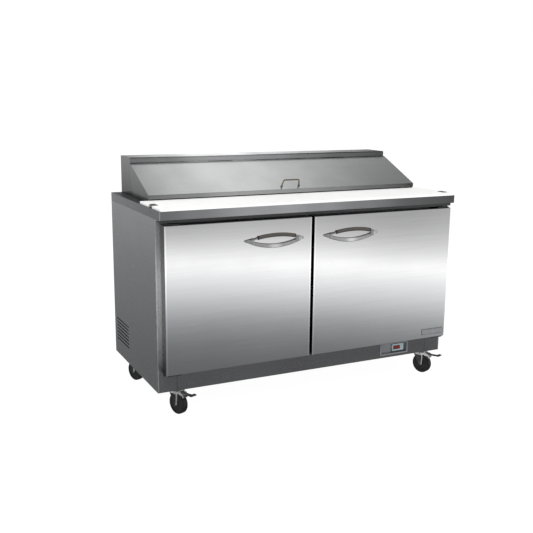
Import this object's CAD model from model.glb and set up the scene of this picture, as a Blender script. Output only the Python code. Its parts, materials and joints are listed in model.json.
import json
import math

import bpy
from mathutils import Matrix, Vector


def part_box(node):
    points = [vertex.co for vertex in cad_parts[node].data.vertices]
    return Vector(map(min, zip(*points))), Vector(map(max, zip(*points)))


# Looks of the sandwich prep table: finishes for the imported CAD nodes, a studio and the camera.
# Metres, in the row's frame: +Z up, the doors face -Y, and the origin is on the floor.

MM = 0.001
SKIRT = 38 * MM                 # height of the worktop's edge
HEM = 12 * MM                   # bright strip down both sides of a door's front
BADGE_BORDER = 4 * MM
FORK_LEG = (96 * MM, 99 * MM)   # heights over which the shade on a fork's legs fades out
STEEL = (0.56, 0.565, 0.575)
DARK_STEEL = (0.26, 0.26, 0.268)
CASTER_CORNERS = ("front_left", "front_right", "rear_left", "rear_right")
UNMIRRORED = ("handle_frame", "handle_grip", "fork", "wheel", "brake_pedal")   # kept out of reflections

# ---- Shades of the long folded sheets: (share of the worktop's width, brightness) ----
# Typed by hand, rounded, from how much brighter or darker the photograph was than the render at a few places
# along each fold. They stand in for what a real room reflects there, so they belong to this studio and this
# viewpoint and are not a property of the steel.
SKIRT_SHADE = [
    (0.0, 1.2), (0.004, 0.54), (0.12, 0.73), (0.26, 1.09), (0.37, 1.13),
    (0.5, 0.98), (0.65, 0.7), (0.85, 0.34), (1.0, 0.26),
]
WORKTOP_TOP_SHADE = [(0.0, 0.45), (1.0, 0.5)]
HOOD_LIP_SHADE = [
    (0.0, 0.65), (0.15, 0.8), (0.27, 1.24), (0.4, 1.17), (0.53, 0.94), (0.66, 0.66), (0.8, 0.44), (1.0, 0.25),
]
HOOD_TOP_SHADE = [
    (0.0, 0.1), (0.15, 0.7), (0.27, 1.9), (0.38, 2.0), (0.5, 0.75), (0.66, 0.2), (0.8, 0.1), (1.0, 0.4),
]
LID_TOP_SHADE = [
    (0.0, 0.61), (0.15, 0.92), (0.27, 1.13), (0.4, 1.1), (0.55, 0.9), (0.66, 0.82), (0.8, 0.8), (1.0, 0.9),
]
LID_LIP_SHADE = [
    (0.0, 0.235), (0.15, 0.39), (0.27, 0.59), (0.4, 0.6), (0.55, 0.5), (0.66, 0.39), (0.8, 0.25), (1.0, 0.13),
]
KICK_SHADE = [(0.0, 0.87), (0.2, 0.84), (0.5, 0.72), (1.0, 0.62)]

# ---- Camera: the photograph's viewpoint ----
CAMERA_PLACE = (-1.837, -3.571, 1.431)
CAMERA_YAW = 26.05              # degrees from +Y towards +X
CAMERA_PITCH = -12.08
CAMERA_ROLL = 0.54
CAMERA_LENS = 54.15
SENSOR = 36.0


class Graph:
    """A node tree, with short calls for the nodes that the finishes share."""

    def __init__(self, tree):
        self.tree = tree
        tree.nodes.clear()

    def add(self, kind, inputs=None, **settings):
        node = self.tree.nodes.new(kind)
        for name, value in settings.items():
            setattr(node, name, value)
        for key, value in (inputs or {}).items():
            self.join(value, node.inputs[key])
        return node

    def join(self, value, socket):
        if isinstance(value, bpy.types.NodeSocket):
            self.tree.links.new(value, socket)
        else:
            socket.default_value = value

    def math(self, operation, a, b=0.0):
        return self.add("ShaderNodeMath", {0: a, 1: b}, operation=operation).outputs[0]

    def spread(self, value, low, high, new_low=0.0, new_high=1.0, smooth=False):
        """value, carried from low..high to new_low..new_high and held at both ends."""
        kind = "SMOOTHSTEP" if smooth else "LINEAR"
        inputs = {"Value": value, "From Min": low, "From Max": high, "To Min": new_low, "To Max": new_high}
        return self.add("ShaderNodeMapRange", inputs, interpolation_type=kind).outputs["Result"]

    def ramp(self, factor, stops, interpolation="LINEAR"):
        """Colour ramp with (place, colour) stops."""
        node = self.add("ShaderNodeValToRGB", {0: factor})
        band = node.color_ramp
        band.interpolation = interpolation
        while len(band.elements) < len(stops):
            band.elements.new(0.5)
        for element, (place, colour) in zip(band.elements, stops):
            element.position = place
            element.color = (*colour, 1.0)
        return node.outputs["Color"]

    def mix(self, factor, a, b, blend="MIX"):
        """Colour mix of a and b."""
        node = self.add("ShaderNodeMix", data_type="RGBA", blend_type=blend)
        colours = [socket for socket in node.inputs if socket.type == "RGBA"]
        self.join(factor, node.inputs["Factor"])
        self.join(a, colours[0])
        self.join(b, colours[1])
        return next(socket for socket in node.outputs if socket.type == "RGBA")

    def times(self, a, b):
        """Product of two colours."""
        return self.mix(1.0, a, b, "MULTIPLY")

    def place(self, scale=(1, 1, 1)):
        """Object coordinates, scaled; a CAD node's object coordinates are the row's frame."""
        coordinates = self.add("ShaderNodeTexCoord").outputs["Object"]
        return self.add("ShaderNodeMapping", {"Vector": coordinates, "Scale": scale}).outputs["Vector"]

    def noise(self, scale, detail=2.0, roughness=0.5, stretch=(1, 1, 1)):
        inputs = {"Vector": self.place(stretch), "Scale": scale, "Detail": detail, "Roughness": roughness}
        return self.add("ShaderNodeTexNoise", inputs).outputs["Fac"]

    def towards(self, axis):
        """Part of the surface's normal along one axis of the row's frame, from -1 to 1."""
        normal = self.add("ShaderNodeTexCoord").outputs["Normal"]
        return self.add("ShaderNodeSeparateXYZ", {0: normal}).outputs[axis]

    def at(self, axis):
        """Position along one axis of the row's frame, in metres."""
        return self.add("ShaderNodeSeparateXYZ", {0: self.place()}).outputs[axis]

    def rounded(self, radius=0.8 * MM):
        """Normal with edges rounded, as folded or moulded edges are."""
        return self.add("ShaderNodeBevel", {"Radius": radius}, samples=4).outputs["Normal"]

    def bump(self, height, strength, distance, normal):
        inputs = {"Height": height, "Strength": strength, "Distance": distance, "Normal": normal}
        return self.add("ShaderNodeBump", inputs).outputs["Normal"]


def tone(code):
    """Linear colour of an sRGB code such as '8090a0'."""
    values = [int(code[n:n + 2], 16) / 255 for n in (0, 2, 4)]
    return tuple(v / 12.92 if v <= 0.04045 else ((v + 0.055) / 1.055) ** 2.4 for v in values)


def rgba(colour):
    return (*colour, 1.0)


def grey(v):
    return (v, v, v)


def greys(stops):
    """Ramp stops of (place, colour) from stops of (place, brightness)."""
    return [(place, grey(brightness)) for place, brightness in stops]


def finish(name, colour, roughness, normal, metallic=0.0):
    """Material from functions of its graph for colour, roughness and normal; metallic may be one as well."""
    material = bpy.data.materials.new(name)
    material.use_nodes = True
    g = Graph(material.node_tree)
    shader = g.add("ShaderNodeBsdfPrincipled")
    output = g.add("ShaderNodeOutputMaterial")
    g.join(shader.outputs["BSDF"], output.inputs["Surface"])
    g.join(colour(g), shader.inputs["Base Color"])
    g.join(roughness(g), shader.inputs["Roughness"])
    g.join(normal(g), shader.inputs["Normal"])
    g.join(metallic(g) if callable(metallic) else metallic, shader.inputs["Metallic"])
    return material


def shaded(g, colour, shade):
    """Colour times a shade's own graph, where there is one."""
    return g.times(colour, shade(g)) if shade else colour


# ---- Finishes ----

def grain_stretch(along):
    """Stretch that draws fine lines along one axis."""
    slow, fast = 4, 900
    return tuple(slow if axis == along else fast for axis in "xyz")


def brushed(
    name, colour, along="x", roughness=0.2, contrast=0.05, smudge=0.04,
    shade=None, relief=0.12, metallic=0.88,
):
    """Brushed sheet: fine lines along one axis, broader streaks, faint smudges, and rounded folds."""
    broad = tuple(0.6 if axis == along else 40 for axis in "xyz")

    def base(g):
        fine = g.spread(g.noise(1.0, 1, 0.5, grain_stretch(along)), 0.3, 0.7, 1 - contrast, 1 + contrast)
        streak = g.spread(g.noise(1.0, 3, 0.6, broad), 0.3, 0.7, 1 - smudge, 1 + smudge)
        return shaded(g, g.times(rgba(colour), g.math("MULTIPLY", fine, streak)), shade)

    def rough(g):
        streak = g.spread(g.noise(1.0, 2, 0.6, grain_stretch(along)), 0.3, 0.7, 0.88, 1.12)
        wiped = g.spread(g.noise(5.0, 3, 0.6), 0.35, 0.7, 0.9 * roughness, 1.2 * roughness)
        return g.math("MULTIPLY", wiped, streak)

    def normal(g):
        lines = g.noise(1.0, 2, 0.6, grain_stretch(along))
        return g.bump(lines, relief, 0.1 * MM, g.rounded())

    return finish(name, base, rough, normal, metallic=metallic)


def dull_metal(name, colour, roughness, patch=30, contrast=0.12, bump=0.2, shade=None):
    """Plated, cast or drawn metal: cloudy patches in colour and in roughness."""
    def base(g):
        cloud = g.spread(g.noise(patch, 4, 0.6), 0.3, 0.7, 1 - contrast, 1 + contrast)
        return shaded(g, g.times(rgba(colour), cloud), shade)

    def rough(g):
        return g.spread(g.noise(patch * 3, 3), 0.3, 0.7, roughness - 0.06, roughness + 0.08)

    def normal(g):
        return g.bump(g.noise(patch * 20, 2), bump, 0.1 * MM, g.rounded())

    return finish(name, base, rough, normal, metallic=1.0)


def moulded(name, colour, roughness, texture=900, bump=0.15, wear=0.08, shade=None):
    """Moulded plastic or rubber: a fine texture and a faint colour drift."""
    def base(g):
        drift = g.spread(g.noise(12, 3), 0.3, 0.7, 1 - wear, 1 + wear)
        return shaded(g, g.times(rgba(colour), drift), shade)

    def rough(g):
        return g.spread(g.noise(40, 3), 0.3, 0.7, roughness - 0.05, roughness + 0.07)

    def normal(g):
        return g.bump(g.noise(texture, 2), bump, 0.1 * MM, g.rounded(0.6 * MM))

    return finish(name, base, rough, normal)


def board_plastic():
    """White cutting board: faint knife marks and a fine matt texture."""
    def base(g):
        drift = g.noise(3.0, 3)
        return g.ramp(drift, [(0.3, tone("e9e9e8")), (0.7, tone("f0f0ef"))])

    def rough(g):
        return g.spread(g.noise(25, 3), 0.3, 0.7, 0.42, 0.55)

    def normal(g):
        marks = g.noise(1.0, 2, 0.7, (30, 260, 30))
        cuts = g.spread(marks, 0.62, 0.7, 1.0, 0.0)
        fine = g.noise(700, 2)
        height = g.math("ADD", cuts, g.math("MULTIPLY", fine, 0.3))
        return g.bump(height, 0.15, 0.15 * MM, g.rounded(1.0 * MM))

    return finish("board_plastic", base, rough, normal)


def rigid_foam():
    """Yellowish foam with open cells at its surface."""
    def cells(g):
        return g.add("ShaderNodeTexVoronoi", {"Vector": g.place(), "Scale": 350.0}).outputs["Distance"]

    def base(g):
        return g.ramp(cells(g), [(0.0, tone("c9ab6c")), (0.5, tone("e6cf98"))])

    def rough(g):
        return g.spread(g.noise(60, 2), 0.3, 0.7, 0.82, 0.95)

    def normal(g):
        return g.bump(cells(g), 0.5, 0.6 * MM, g.rounded())

    return finish("rigid_foam", base, rough, normal)


def embossed_aluminium():
    """Liner sheet with a fine orange-peel emboss."""
    def base(g):
        return g.ramp(g.noise(6, 3), [(0.3, tone("c6c9cb")), (0.7, tone("dcdedf"))])

    def rough(g):
        return g.spread(g.noise(50, 3), 0.3, 0.7, 0.3, 0.42)

    def normal(g):
        pebble = g.add("ShaderNodeTexVoronoi", {"Vector": g.place(), "Scale": 420.0}).outputs["Distance"]
        return g.bump(pebble, 0.35, 0.2 * MM, g.rounded())

    return finish("embossed_aluminium", base, rough, normal, metallic=1.0)


def galvanised():
    """Galvanised sheet: spangle cells of slightly different grey."""
    def cells(g):
        return g.add("ShaderNodeTexVoronoi", {"Vector": g.place(), "Scale": 90.0}).outputs["Color"]

    def base(g):
        value = g.add("ShaderNodeRGBToBW", {0: cells(g)}).outputs[0]
        return g.ramp(value, [(0.2, tone("c2c5c7")), (0.8, tone("dde0e2"))])

    def rough(g):
        value = g.add("ShaderNodeRGBToBW", {0: cells(g)}).outputs[0]
        return g.spread(value, 0.2, 0.8, 0.28, 0.42)

    def normal(g):
        return g.bump(g.noise(300, 2), 0.1, 0.1 * MM, g.rounded())

    return finish("galvanised", base, rough, normal, metallic=1.0)


def display():
    """Dark red window with the faint unlit bars of three digits behind it."""
    low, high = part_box("display_lens")

    def base(g):
        axis = g.add("ShaderNodeSeparateXYZ", {0: g.place()})
        across = g.spread(axis.outputs["X"], low.x, high.x, 0.0, 3.0)
        cell = g.math("FRACT", across)
        up = g.spread(axis.outputs["Z"], low.z, high.z)
        in_cell = g.math("MULTIPLY", g.spread(cell, 0.14, 0.2), g.spread(cell, 0.86, 0.8))
        in_row = g.math("MULTIPLY", g.spread(up, 0.18, 0.24), g.spread(up, 0.82, 0.76))
        digit = g.math("MULTIPLY", in_cell, in_row)
        hole = g.math("PINGPONG", g.spread(up, 0.2, 0.8), 0.5)
        open_middle = g.math("MULTIPLY", g.spread(cell, 0.34, 0.38), g.spread(cell, 0.66, 0.62))
        open_rows = g.math("MULTIPLY", g.spread(hole, 0.1, 0.13), g.spread(hole, 0.42, 0.39))
        stroke = g.math("SUBTRACT", digit, g.math("MULTIPLY", open_middle, open_rows))
        return g.mix(g.math("MAXIMUM", stroke, 0.0), rgba(tone("5a1a17")), rgba(tone("8e352e")))

    def rough(g):
        return g.spread(g.noise(80, 2), 0.3, 0.7, 0.12, 0.2)

    return finish("display", base, rough, lambda g: g.rounded(0.4 * MM))


def rubber_tread():
    """Near-black wheel with cloudy dust and a fine rough texture."""
    def base(g):
        dust = g.noise(35, 4, 0.65)
        return g.ramp(dust, [(0.35, tone("0c0c0d")), (0.75, tone("1c1c1d"))])

    def rough(g):
        return g.spread(g.noise(60, 3), 0.3, 0.7, 0.42, 0.62)

    def normal(g):
        return g.bump(g.noise(500, 3), 0.25, 0.2 * MM, g.rounded(1.2 * MM))

    return finish("rubber_tread", base, rough, normal)


def across(g, low, high, stops):
    """Shade that changes along X, as the room's reflection does along a long fold."""
    return g.ramp(g.spread(g.at("X"), low, high), greys(stops), "EASE")


def folded(name, front, top, ends, run="Z", dark_below=None):
    """Shade of a long folded sheet: stops along X for its front and top, and two values across its ends."""
    def shade(g):
        worktop_low, worktop_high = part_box("worktop")
        low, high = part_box(name)
        near, far = getattr(low, run.lower()), getattr(high, run.lower())
        faces_up = g.spread(g.towards("Z"), 0.4, 0.7)
        faces_end = g.spread(g.math("ABSOLUTE", g.towards("X")), 0.6, 0.8)
        along_front = across(g, worktop_low.x, worktop_high.x, front)
        value = g.mix(faces_up, along_front, across(g, worktop_low.x, worktop_high.x, top))
        value = g.mix(faces_end, value, g.spread(g.at(run), near, far, *ends))
        if dark_below is None:
            return value
        under = g.spread(g.at("Z"), dark_below, dark_below - 1 * MM)
        return g.mix(under, value, rgba(grey(0.2)))
    return shade


def door_shade(g):
    """Dark edges to a door, and a bright hem down its front's sides, all but the right door's outer one."""
    sideways = g.math("ABSOLUTE", g.towards("X"))
    upright = g.math("ABSOLUTE", g.towards("Z"))
    turned = g.math("MAXIMUM", sideways, upright)
    edge = g.ramp(turned, greys([(0.0, 1.0), (0.3, 1.0), (0.6, 1.25), (0.9, 0.6), (0.98, 0.09)]))
    inside = None
    for name in ("left_door_skin", "right_door_skin"):
        low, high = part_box(name)
        from_middle = g.math("ABSOLUTE", g.math("SUBTRACT", g.at("X"), (low.x + high.x) / 2))
        depth = g.math("SUBTRACT", (high.x - low.x) / 2, from_middle)
        inside = depth if inside is None else g.math("MAXIMUM", inside, depth)
    hem = g.ramp(g.spread(inside, 0.0, HEM), greys([(0.0, 1.1), (0.3, 1.4), (0.5, 1.25), (0.65, 1.0)]))
    outer_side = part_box("right_door_skin")[1].x
    last = g.spread(g.at("X"), outer_side - 40 * MM, outer_side - 30 * MM)
    return g.times(edge, g.mix(last, hem, rgba(grey(1.0))))


def panel_shade(foot):
    """End panel: a darker foot, a bright corner fold, and a post that glows above the steel's own colour."""
    def shade(g):
        low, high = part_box("worktop")
        kick_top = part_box("kick_plate")[1].z
        low_down = g.spread(g.at("Z"), kick_top + 60 * MM, kick_top - 5 * MM)
        to_corner = g.spread(g.math("ABSOLUTE", g.at("X")), high.x - 6 * MM, high.x - 4 * MM)
        glow = g.ramp(g.spread(g.at("Z"), kick_top, low.z), greys([
            (0.0, 0.95), (0.13, 1.2), (0.3, 1.9), (0.45, 2.5),
            (0.62, 3.3), (0.77, 1.7), (0.85, 1.4), (1.0, 1.2),
        ]))
        front = g.mix(low_down, glow, rgba(grey(foot)))
        corner = g.mix(low_down, glow, rgba(grey(1.7 * foot)))
        front = g.mix(to_corner, front, g.mix(0.15, corner, rgba(grey(2.0))))
        side_stops = greys([(0.0, 0.59), (0.45, 0.665), (0.7, 0.69), (1.0, 0.8)])
        side = g.ramp(g.spread(g.at("Z"), kick_top, low.z), side_stops)
        return g.mix(g.spread(g.towards("Y"), -0.5, -0.8), side, front)
    return shade


def fork_shade(g):
    """Caster fork: the left-hand faces of its legs look into the dark, the rest is bright."""
    leftward = g.spread(g.towards("X"), -0.55, -0.8)
    on_leg = g.spread(g.at("Z"), FORK_LEG[1], FORK_LEG[0])
    return g.mix(g.math("MULTIPLY", leftward, on_leg), rgba(grey(1.0)), rgba(grey(0.1)))


def pedal_finish():
    """Brake pedal: plated at its pin, with a black moulded cover over the tread."""
    low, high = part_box("front_left_brake_pedal")
    reach = high.y - low.y

    def covered(g):
        return g.spread(g.at("Y"), low.y + 0.48 * reach, low.y + 0.46 * reach)

    def base(g):
        drift = g.spread(g.noise(40, 3), 0.3, 0.7, 0.9, 1.1)
        colour = g.mix(covered(g), rgba((0.62, 0.62, 0.61)), rgba((0.025, 0.025, 0.027)))
        return g.times(colour, drift)

    def rough(g):
        return g.spread(g.noise(60, 3), 0.3, 0.7, 0.28, 0.4)

    def normal(g):
        return g.bump(g.noise(700, 2), 0.15, 0.1 * MM, g.rounded(0.6 * MM))

    def bare_metal(g):
        return g.spread(covered(g), 0.0, 1.0, 1.0, 0.0)

    return finish("brake_pedal", base, rough, normal, metallic=bare_metal)


def badge_shade(g):
    """Thin dark border round the plain plate."""
    low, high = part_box("door_badge")
    depth = None
    for axis, near, far in (("X", low.x, high.x), ("Z", low.z, high.z)):
        from_middle = g.math("ABSOLUTE", g.math("SUBTRACT", g.at(axis), (near + far) / 2))
        inside = g.math("SUBTRACT", (far - near) / 2, from_middle)
        depth = inside if depth is None else g.math("MINIMUM", depth, inside)
    return g.ramp(g.spread(depth, 0.0, BADGE_BORDER), greys([(0.0, 0.45), (0.45, 0.45), (0.6, 1.0)]))


def along_handle(g, piece):
    """Distance from the middle of the nearer handle, as a share of its half length."""
    nearest = None
    for side in ("left", "right"):
        low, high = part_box(f"{side}_{piece}")
        away = g.math("ABSOLUTE", g.math("SUBTRACT", g.at("X"), (low.x + high.x) / 2))
        nearest = away if nearest is None else g.math("MINIMUM", nearest, away)
    return g.spread(nearest, 0.0, (high.x - low.x) / 2)


def grip_shade(g):
    """Grip: a dark joint at each end."""
    return g.ramp(along_handle(g, "handle_grip"), greys([(0.0, 1.0), (0.9, 1.0), (0.95, 0.25)]))


def crescent_shade(g):
    """Handle frame: its lower bar is bright in the middle, and the tops of its feet are dark."""
    along = along_handle(g, "handle_frame")
    bar = g.ramp(along, greys([(0.0, 1.35), (0.1, 1.1), (0.25, 0.7), (0.6, 0.6), (1.0, 0.55)]))
    foot_top = g.math("MULTIPLY", g.spread(g.towards("Z"), 0.3, 0.6), g.spread(along, 0.6, 0.66))
    return g.mix(foot_top, bar, rgba(grey(0.16)))


def finishes():
    """A material for each of the record's slots."""
    return {
        "stainless_sheet": brushed("stainless_sheet", STEEL),
        "door_stainless": brushed(
            "door_stainless", (0.80, 0.80, 0.805), roughness=0.07, contrast=0.03, smudge=0.015,
            shade=door_shade, relief=0.04, metallic=1.0,
        ),
        "galvanised_sheet": galvanised(),
        "dark_stainless": brushed("dark_stainless", DARK_STEEL, roughness=0.26),
        "liner_aluminium": embossed_aluminium(),
        "foam": rigid_foam(),
        "cutting_board": board_plastic(),
        "pan_steel": brushed("pan_steel", (0.68, 0.685, 0.69), along="z", roughness=0.16, contrast=0.03),
        "zinc_fastener": dull_metal("zinc_fastener", (0.70, 0.70, 0.69), 0.28, patch=200),
        "chrome": brushed(
            "handle_metal", (0.86, 0.86, 0.86), roughness=0.3, contrast=0.02,
            shade=crescent_shade, relief=0.03,
        ),
        "grip_plastic": moulded("grip_plastic", tone("4b4743"), 0.42, shade=grip_shade),
        "bracket_black": moulded("bracket_black", (0.02, 0.02, 0.022), 0.35),
        "gasket_vinyl": moulded("gasket_vinyl", (0.018, 0.018, 0.02), 0.55),
        "liner_plastic": moulded("liner_plastic", (0.74, 0.75, 0.75), 0.38, wear=0.02),
        "wire_coating": moulded("wire_coating", (0.72, 0.73, 0.72), 0.3, wear=0.03),
        "bezel_plastic": moulded("bezel_plastic", tone("7b7e83"), 0.4, wear=0.04),
        "controller_plastic": moulded("controller_plastic", tone("9db0b5"), 0.3, wear=0.04),
        "display_red": display(),
        "button_plastic": moulded("button_plastic", tone("c3cdd2"), 0.35, wear=0.04),
        "wheel_rubber": rubber_tread(),
        "zinc_plate": dull_metal("zinc_plate", (0.66, 0.66, 0.65), 0.24, patch=60),
        "pedal_black": pedal_finish(),
        "compressor_paint": moulded("compressor_paint", (0.012, 0.012, 0.013), 0.22, texture=300),
        "coil_fin": dull_metal("coil_fin", (0.68, 0.69, 0.70), 0.36, patch=80),
        "fan_plastic": moulded("fan_plastic", (0.03, 0.03, 0.031), 0.4),
        "motor_metal": dull_metal("motor_metal", (0.36, 0.36, 0.37), 0.45, patch=120),
        "copper_tube": dull_metal("copper_tube", (0.72, 0.40, 0.27), 0.28, patch=50, contrast=0.2),
        "condensate_plastic": moulded("condensate_plastic", (0.05, 0.05, 0.052), 0.45),
        "cord_rubber": moulded("cord_rubber", (0.015, 0.015, 0.015), 0.55),
        "badge_plate": dull_metal(
            "badge_plate", (0.6, 0.61, 0.63), 0.32, patch=25, contrast=0.04, shade=badge_shade,
        ),
    }


def own_finishes():
    """Materials of single nodes that look different from the rest of their slot."""
    skirt_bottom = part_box("worktop")[1].z - SKIRT
    smooth = {"contrast": 0.02, "smudge": 0.012, "relief": 0.03}
    worktop_ends = (0.54, 0.78)
    worktop_shade = folded("worktop", SKIRT_SHADE, WORKTOP_TOP_SHADE, worktop_ends, "Y", skirt_bottom)
    hood_shade = folded("hood", HOOD_LIP_SHADE, HOOD_TOP_SHADE, (0.17, 0.74))
    lid_shade = folded("lid_panel", LID_LIP_SHADE, LID_TOP_SHADE, (0.28, 0.62))
    kick_shade = folded("kick_plate", KICK_SHADE, KICK_SHADE, (1.0, 1.0))
    fork_metal = dull_metal("fork_metal", (0.86, 0.86, 0.85), 0.35, patch=60, contrast=0.06, shade=fork_shade)
    return {
        **{f"{corner}_fork": fork_metal for corner in CASTER_CORNERS},
        "worktop": brushed("worktop_steel", STEEL, roughness=0.42, shade=worktop_shade, **smooth),
        "hood": brushed("hood_steel", STEEL, shade=hood_shade, **smooth),
        "lid_panel": brushed("lid_steel", (0.62, 0.63, 0.63), shade=lid_shade, **smooth),
        "kick_plate": brushed("kick_steel", DARK_STEEL, roughness=0.26, shade=kick_shade, **smooth),
        "left_side_panel": brushed("left_side_steel", STEEL, "y", 0.24, shade=panel_shade(0.4), **smooth),
        "right_side_panel": brushed("right_side_steel", STEEL, "y", 0.24, shade=panel_shade(0.3), **smooth),
        "lid_handle": brushed("lid_handle_steel", tone("8a7f6c"), roughness=0.25),
    }


def dress_nodes():
    """Give every CAD node its material, and keep handles and casters out of mirror reflections."""
    by_slot = finishes()
    by_node = own_finishes()
    for name, node in frame["nodes"].items():
        if name.endswith(UNMIRRORED):
            node.visible_glossy = False
    for part in frame["record"]["subparts"]:
        node = frame["nodes"][part["node"]]
        material = by_node.get(part["node"], by_slot[part["material_slot"]])
        for place in node.material_slots:
            place.material = material


# ---- Studio ----

def soft_spot(g, direction, azimuth, elevation, width, strength):
    """Round glow in the reflected room, width degrees from its middle to its edge."""
    turn, rise = math.radians(azimuth), math.radians(elevation)
    towards = (math.sin(turn) * math.cos(rise), math.cos(turn) * math.cos(rise), math.sin(rise))
    facing = g.add("ShaderNodeVectorMath", {0: direction, 1: towards}, operation="DOT_PRODUCT")
    return g.spread(facing.outputs["Value"], math.cos(math.radians(width)), 1.0, 0.0, strength, smooth=True)


def reflected_room(g):
    """Room that polished surfaces reflect, by direction, matched to the gradient that the doors show."""
    direction = g.add("ShaderNodeTexCoord").outputs["Generated"]
    axis = g.add("ShaderNodeSeparateXYZ", {0: direction})
    height = g.spread(axis.outputs["Z"], -0.40, 0.10)
    front = g.ramp(height, [
        (0.00, (0.120, 0.122, 0.125)),
        (0.14, (0.147, 0.152, 0.157)),
        (0.20, (0.215, 0.224, 0.230)),
        (0.25, (0.365, 0.378, 0.388)),
        (0.29, (0.605, 0.620, 0.630)),
        (0.33, (0.865, 0.875, 0.885)),
        (0.37, grey(1.13)),
        (0.39, grey(1.36)),
        (0.41, grey(1.00)),
        (0.45, grey(0.64)),
        (0.49, grey(0.43)),
        (0.53, grey(0.30)),
        (0.60, grey(0.20)),
        (1.00, grey(0.15)),
    ])
    back = g.ramp(height, [
        (0.00, (0.12, 0.12, 0.122)),
        (0.20, (0.19, 0.193, 0.196)),
        (0.40, (0.29, 0.295, 0.30)),
        (0.54, (0.42, 0.42, 0.425)),
        (0.80, grey(0.30)),
        (1.00, grey(0.16)),
    ])
    to_front = g.spread(axis.outputs["Y"], 0.80, 0.25, smooth=True)
    room = g.mix(to_front, back, front)
    spots = [
        soft_spot(g, direction, 32, 46, 15, 0.75),
        soft_spot(g, direction, 24, 4, 11, 1.0),
        soft_spot(g, direction, 152, -5, 10, 0.12),
        soft_spot(g, direction, 130, 4, 22, 0.4),
        soft_spot(g, direction, -90, 5, 40, 0.5),
        soft_spot(g, direction, 90, 5, 40, 0.5),
    ]
    for spot in spots:
        glow = g.add("ShaderNodeCombineColor", {0: spot, 1: spot, 2: spot})
        room = g.mix(1.0, room, glow.outputs[0], "ADD")
    return room


def studio_world():
    """White surround for the camera, soft light for matt surfaces, and a room for polished ones."""
    world = bpy.data.worlds.new("studio")
    bpy.context.scene.world = world
    world.use_nodes = True
    world.cycles.sampling_method = "NONE"
    g = Graph(world.node_tree)
    path = g.add("ShaderNodeLightPath").outputs
    soft = g.mix(path["Is Camera Ray"], rgba(grey(0.85)), rgba(grey(1.0)))
    colour = g.mix(path["Is Glossy Ray"], soft, reflected_room(g))
    background = g.add("ShaderNodeBackground", {"Color": colour, "Strength": 1.0})
    output = g.add("ShaderNodeOutputWorld")
    g.join(background.outputs[0], output.inputs["Surface"])


def floor():
    """Plain pale floor, lifted with a little light of its own so that shadows stay faint."""
    bpy.ops.mesh.primitive_plane_add(size=120)
    plane = bpy.context.object
    plane.name = "floor"
    material = bpy.data.materials.new("pale_floor")
    material.use_nodes = True
    g = Graph(material.node_tree)
    matt = g.add("ShaderNodeBsdfDiffuse", {"Color": rgba(grey(0.86))})
    light = g.add("ShaderNodeEmission", {"Color": rgba(grey(1.0)), "Strength": 1.08})
    blend = g.add("ShaderNodeMixShader", {0: 0.9, 1: matt.outputs[0], 2: light.outputs[0]})
    output = g.add("ShaderNodeOutputMaterial")
    g.join(blend.outputs[0], output.inputs["Surface"])
    plane.data.materials.append(material)
    plane.visible_glossy = False


def soft_light(name, place, target, size, power):
    """Large area light aimed at a point, kept out of reflections."""
    data = bpy.data.lights.new(name, "AREA")
    data.shape = "DISK"
    data.size = size
    data.energy = power
    lamp = bpy.data.objects.new(name, data)
    bpy.context.scene.collection.objects.link(lamp)
    lamp.location = place
    lamp.rotation_euler = (Vector(target) - Vector(place)).to_track_quat("-Z", "Y").to_euler()
    lamp.visible_glossy = False


def camera():
    """Camera at the photograph's viewing angle."""
    yaw, pitch, roll = (math.radians(v) for v in (CAMERA_YAW, CAMERA_PITCH, CAMERA_ROLL))
    ahead = Vector((math.sin(yaw) * math.cos(pitch), math.cos(yaw) * math.cos(pitch), math.sin(pitch)))
    right = Vector((math.cos(yaw), -math.sin(yaw), 0.0))
    up = right.cross(ahead)
    right, up = right * math.cos(roll) + up * math.sin(roll), up * math.cos(roll) - right * math.sin(roll)
    data = bpy.data.cameras.new("camera")
    data.lens = CAMERA_LENS
    data.sensor_width = SENSOR
    data.clip_end = 200
    eye = bpy.data.objects.new("camera", data)
    bpy.context.scene.collection.objects.link(eye)
    turn = Matrix((right, up, -ahead)).transposed().to_4x4()
    eye.matrix_world = Matrix.Translation(CAMERA_PLACE) @ turn
    bpy.context.scene.camera = eye


def studio():
    scene = bpy.context.scene
    scene.view_settings.view_transform = "Standard"
    studio_world()
    floor()
    soft_light("key", (-2.2, -2.6, 4.2), (0, 0, 0.6), 3.5, 120)
    soft_light("fill", (3.2, -1.5, 3.2), (0, 0, 0.6), 3.0, 50)
    camera()


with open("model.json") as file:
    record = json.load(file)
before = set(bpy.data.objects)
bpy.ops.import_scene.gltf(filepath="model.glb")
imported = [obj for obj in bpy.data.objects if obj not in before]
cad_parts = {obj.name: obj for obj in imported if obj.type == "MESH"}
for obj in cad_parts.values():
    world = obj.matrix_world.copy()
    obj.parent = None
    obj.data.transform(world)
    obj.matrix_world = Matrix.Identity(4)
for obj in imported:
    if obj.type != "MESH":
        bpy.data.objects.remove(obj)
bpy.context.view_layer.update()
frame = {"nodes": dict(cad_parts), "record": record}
dress_nodes()
studio()
